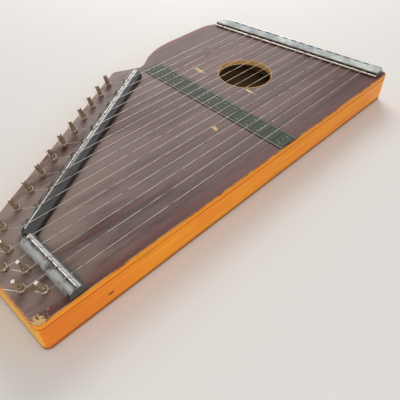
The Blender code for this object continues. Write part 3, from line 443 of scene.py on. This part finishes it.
def milled_pin(name, joint, turn):
    """Radius at angle a, height z: the lesser of limit(z) and half(z) / max(|cos a|, |sin a|)."""
    shaft, depth, stand, head, sides = 0.0025, 0.0215, 0.0166, 0.0085, 48
    shoulder, round_bar, chamfer = stand - head, 2.0, 0.0005
    # Height from the joint, half width of the square (round_bar has no flats), and round limit.
    profile = [(-depth, round_bar, shaft - chamfer), (-depth + chamfer, round_bar, shaft),
               (shoulder - 0.0009, round_bar, shaft), (shoulder - 0.0003, 0.00225, shaft),
               (shoulder + 0.0006, 0.00182, shaft), (shoulder + 0.0016, 0.00175, shaft),
               (stand - 0.0007, 0.00152, shaft), (stand - 0.0003, 0.00146, shaft - 0.0002),
               (stand - 0.0001, 0.00134, shaft - 0.0005), (stand, 0.0012, shaft - 0.0009)]
    height, half, limit = np.array(profile).T[..., None]
    angle = np.linspace(0, 2 * np.pi, sides, endpoint=False)
    widest = np.maximum(np.abs(np.cos(angle)), np.abs(np.sin(angle)))
    radius = np.minimum(limit, half / widest)
    rings = np.stack([radius * np.cos(angle + turn), radius * np.sin(angle + turn),
                      height + 0 * radius], axis=-1)
    axis = np.array(joint["axis"])
    across = np.array([1.0, 0.0, 0.0])
    basis = np.stack([across, np.cross(axis, across), axis])
    return surface_of_rings(rings @ basis + np.array(joint["pos_m"]), name)


pin_steel = dress("rusty_steel", rusted_pin_steel())
joints = {joint["child"]: joint for joint in frame["record"]["behaviour"]["joints"]}
first_turn, next_turn = 0.4, math.radians(37.0)
for number in range(len(joints)):
    node = "tuning_pin_%02d" % (number + 1)
    pin = milled_pin("milled_pin_%02d" % (number + 1), joints[node],
                     next_turn * number + first_turn)
    pin.data.materials.append(pin_steel)
    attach(pin, node)
    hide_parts(node)


# Strings: plain steel wire of half a millimetre, hooked on the hitch pins, drawn over the end wire
# and the bridge, turned by its guide nail and wound down its tuning pin in tight turns, with a
# loose tail.
def unit(vector):
    """The vector over its own length."""
    return vector / np.linalg.norm(vector)


def meeting(point_a, way_a, point_b, way_b):
    """Where two lines in plan cross, solving point_a + s way_a = point_b + t way_b."""
    ways = np.stack([way_a, -way_b], axis=1)
    return point_a + way_a * np.linalg.solve(ways, point_b - point_a)[0]


def circle(angles):
    """The points (cos a, sin a)."""
    return np.stack([np.cos(angles), np.sin(angles)], axis=-1)


def crossings(number):
    """In plan, where a string crosses its saddle wire, and its row of nails as point and way."""
    on_short_bridge, nail_setback, along = 5, 0.0028, np.array([0.0, 1.0])
    short_first_x, short_pitch, short_y = -0.014, 0.0131, 0.0376
    long_first_x, long_pitch, crest = -0.079, 0.01135, np.array([-0.0791, 0.0434])
    bridge_way = circle(math.radians(120.4))
    if number < on_short_bridge:
        saddle = np.array([short_first_x - short_pitch * number, short_y])
        nail_row, row_way = np.array([0.0, short_y - nail_setback]), np.array([1.0, 0.0])
    else:
        column = np.array([long_first_x - long_pitch * (number - on_short_bridge), 0.0])
        saddle = meeting(crest, bridge_way, column, along)
        away = np.array([bridge_way[1], -bridge_way[0]])
        nail_row, row_way = crest - away * nail_setback, bridge_way
    return saddle, nail_row, row_way


def string_route(number, joint):
    """Arcs round hitch pin and nail, straight between, and base + r (cos a, sin a) + axis z."""
    plan_shift = np.array([0.121, -0.2395623])
    far_slope, far_corner = math.radians(9.2), np.array([0.0, 0.480])
    wire_inset, hitch_inset = 0.0198, 0.0118
    end_height, saddle_height = 0.03825, 0.04565
    hook_radius, hook_sweep, hook_points = 0.00135, math.radians(200.0), 14
    nail_radius, nail_drop, nail_points = 0.00125, 0.00025, 7
    coil_radius, coil_top, coil_turns, coil_pitch, coil_points = 0.00312, 0.0056, 3.2, 0.00062, 28
    first_end_x, end_pitch, along = -0.0218, 0.01205, np.array([0.0, 1.0])
    tail_reach = 0.0016 + 0.0009 * ((number * 7) % 4)  # one of four lengths, in turn
    tail_points, forward, sideways, upward = 6, 0.35, 0.25, 0.3

    far_way, far_in = -circle(far_slope), np.array([math.sin(far_slope), -math.cos(far_slope)])
    saddle, nail_row, row_way = crossings(number)
    end = meeting(far_corner + far_in * wire_inset, far_way,
                  np.array([first_end_x - end_pitch * number, 0.0]), along)
    way = unit(saddle - end)
    left = np.array([way[1], -way[0]])
    hitch = meeting(end + left * hook_radius, -way, far_corner + far_in * hitch_inset, far_way)
    bend = math.atan2(way[1], way[0]) + math.pi / 2 - hook_sweep * np.linspace(1, 0, hook_points)
    hook = np.c_[hitch + hook_radius * circle(bend), np.full(hook_points, end_height)]
    straight = np.array([[*end, end_height], [*saddle, saddle_height]])

    nail = meeting(saddle + left * nail_radius, way, nail_row, row_way)
    axis = np.array(joint["axis"])
    base = np.array(joint["pos_m"]) - np.array([*plan_shift, 0.0])
    span = (base + axis * coil_top)[:2] - nail
    swing = math.asin((coil_radius - nail_radius) / np.linalg.norm(span))
    leave = unit(np.array([math.cos(swing) * span[0] - math.sin(swing) * span[1],
                           math.sin(swing) * span[0] + math.cos(swing) * span[1]]))
    first, last = math.atan2(way[0], -way[1]), math.atan2(leave[0], -leave[1])
    share = np.linspace(0, 1, nail_points)
    round_nail = np.c_[nail + nail_radius * circle(first - (first - last) % math.tau * share),
                       saddle_height - nail_drop * share]

    across = np.array([1.0, 0.0, 0.0])
    other = np.cross(axis, across)
    begin = math.atan2(leave @ across[:2], -(leave @ other[:2]))
    turned = np.linspace(0, coil_turns, int(coil_turns * coil_points) + 1)
    coil = (base + coil_radius * circle(begin - math.tau * turned) @ np.stack([across, other])
            + np.outer(coil_top - coil_pitch * turned, axis))

    heading = unit(coil[-1] - coil[-2])
    spoke = coil[-1] - base
    outward = unit(spoke - axis * (spoke @ axis))
    share = np.linspace(0.2, 1, tail_points)
    steps = heading * forward + np.outer(share, outward * sideways + axis * upward)
    tail = coil[-1] + np.cumsum(steps * tail_reach, axis=0)
    return np.concatenate([hook, straight, round_nail, coil, tail]) + np.array([*plan_shift, 0.0])


def drawn_string(name, points, radius=0.00024):
    """A round wire through the points: a poly curve with a bevel and capped ends."""
    line = bpy.data.curves.new(name, "CURVE")
    line.dimensions = "3D"
    line.bevel_depth = radius
    line.bevel_resolution = 2
    line.use_fill_caps = True
    run = line.splines.new("POLY")
    run.points.add(len(points) - 1)
    run.points.foreach_set("co", np.c_[points, np.ones(len(points))].ravel())
    item = bpy.data.objects.new(name, line)
    bpy.context.scene.collection.objects.link(item)
    return item


for number in range(len(joints)):
    route = string_route(number, joints["tuning_pin_%02d" % (number + 1)])
    string = drawn_string("steel_string_%02d" % (number + 1), route)
    string.data.materials.append(string_steel)
    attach(string, "zither_body")
    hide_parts("string_%02d" % (number + 1))


# Floor and light: a plain pale floor in a soft studio, with a broad window-like light from behind
# the left side, which gives the near left of the top its sheen, and a weaker one over the long
# side.
def pale_floor():
    """A square, 24 m a side, 0.3 mm below the object's underside."""
    half, drop = 12.0, 0.0003
    mesh = bpy.data.meshes.new("floor")
    mesh.from_pydata([(x, y, -drop) for x, y in ((-half, -half), (half, -half), (half, half),
                                                 (-half, half))], [], [(0, 1, 2, 3)])
    floor = bpy.data.objects.new("floor", mesh)
    bpy.context.scene.collection.objects.link(floor)
    material = bpy.data.materials.new("floor_pale_matt")
    material.use_nodes = True
    fill(material.node_tree.nodes["Principled BSDF"], Base_Color=linear("#E9E7E3"),
         Roughness=0.8)
    mesh.materials.append(material)


def soft_light(name, place, aim, size, power, colour):
    """A rectangular light of the size, at the place, turned towards the aim."""
    light = bpy.data.lights.new(name, "AREA")
    light.shape = "RECTANGLE"
    light.size, light.size_y = size
    light.energy = power
    light.color = colour
    item = bpy.data.objects.new(name, light)
    item.location = place
    item.rotation_euler = (Vector(place) - Vector(aim)).to_track_quat("Z", "Y").to_euler()
    bpy.context.scene.collection.objects.link(item)


def white_world():
    """White to the camera and in glossy and clear rays, and a softer grey for other light."""
    grey = 0.42
    world = bpy.data.worlds.new("studio_white")
    world.use_nodes = True
    world.node_tree.nodes.clear()
    put = functools.partial(add, world.node_tree)
    rays = put("LightPath").node.outputs
    mirrored = put("Math", rays["Is Glossy Ray"], rays["Is Transmission Ray"],
                   operation="MAXIMUM")
    seen = put("Math", rays["Is Camera Ray"], mirrored, operation="MAXIMUM")
    strength = put("Math", grey, put("Math", seen, 1.0 - grey, operation="MULTIPLY"),
                   operation="ADD")
    put("OutputWorld", put("Background", (1.0, 1.0, 1.0, 1.0), strength))
    bpy.context.scene.world = world


pale_floor()
soft_light("window_light", (-0.75, 0.75, 0.85), (0.0, 0.0, 0.03), (0.9, 0.7), 10.5,
           (1.0, 0.99, 0.98))
soft_light("side_light", (0.9, -0.6, 0.7), (0.05, -0.05, 0.03), (0.8, 0.6), 5.0,
           (1.0, 0.98, 0.95))
white_world()


# Camera: the photograph's own view, found from the outline's straight sides and the sound hole. It
# stands off the near right corner and looks down on the strings from about forty-five degrees.
def photo_camera():
    """The camera's axes are right, -down and -forward, each a column of its matrix."""
    lens = bpy.data.cameras.new("photo_camera")
    lens.lens = 41.744
    lens.sensor_width = 36.0
    lens.clip_start = 0.01
    camera = bpy.data.objects.new("photo_camera", lens)
    right = (0.70911261, 0.70505938, 0.00711235)
    down = (0.50699557, -0.50284815, -0.70007088)
    forward = (-0.49001511, 0.50003501, -0.71403794)
    place = (0.31124, -0.27402, 0.32413)
    rows = [(right[k], -down[k], -forward[k], place[k]) for k in range(3)]
    camera.matrix_world = Matrix(rows + [(0, 0, 0, 1)])
    bpy.context.scene.collection.objects.link(camera)
    bpy.context.scene.camera = camera


photo_camera()
bpy.context.scene.view_settings.view_transform = "Standard"
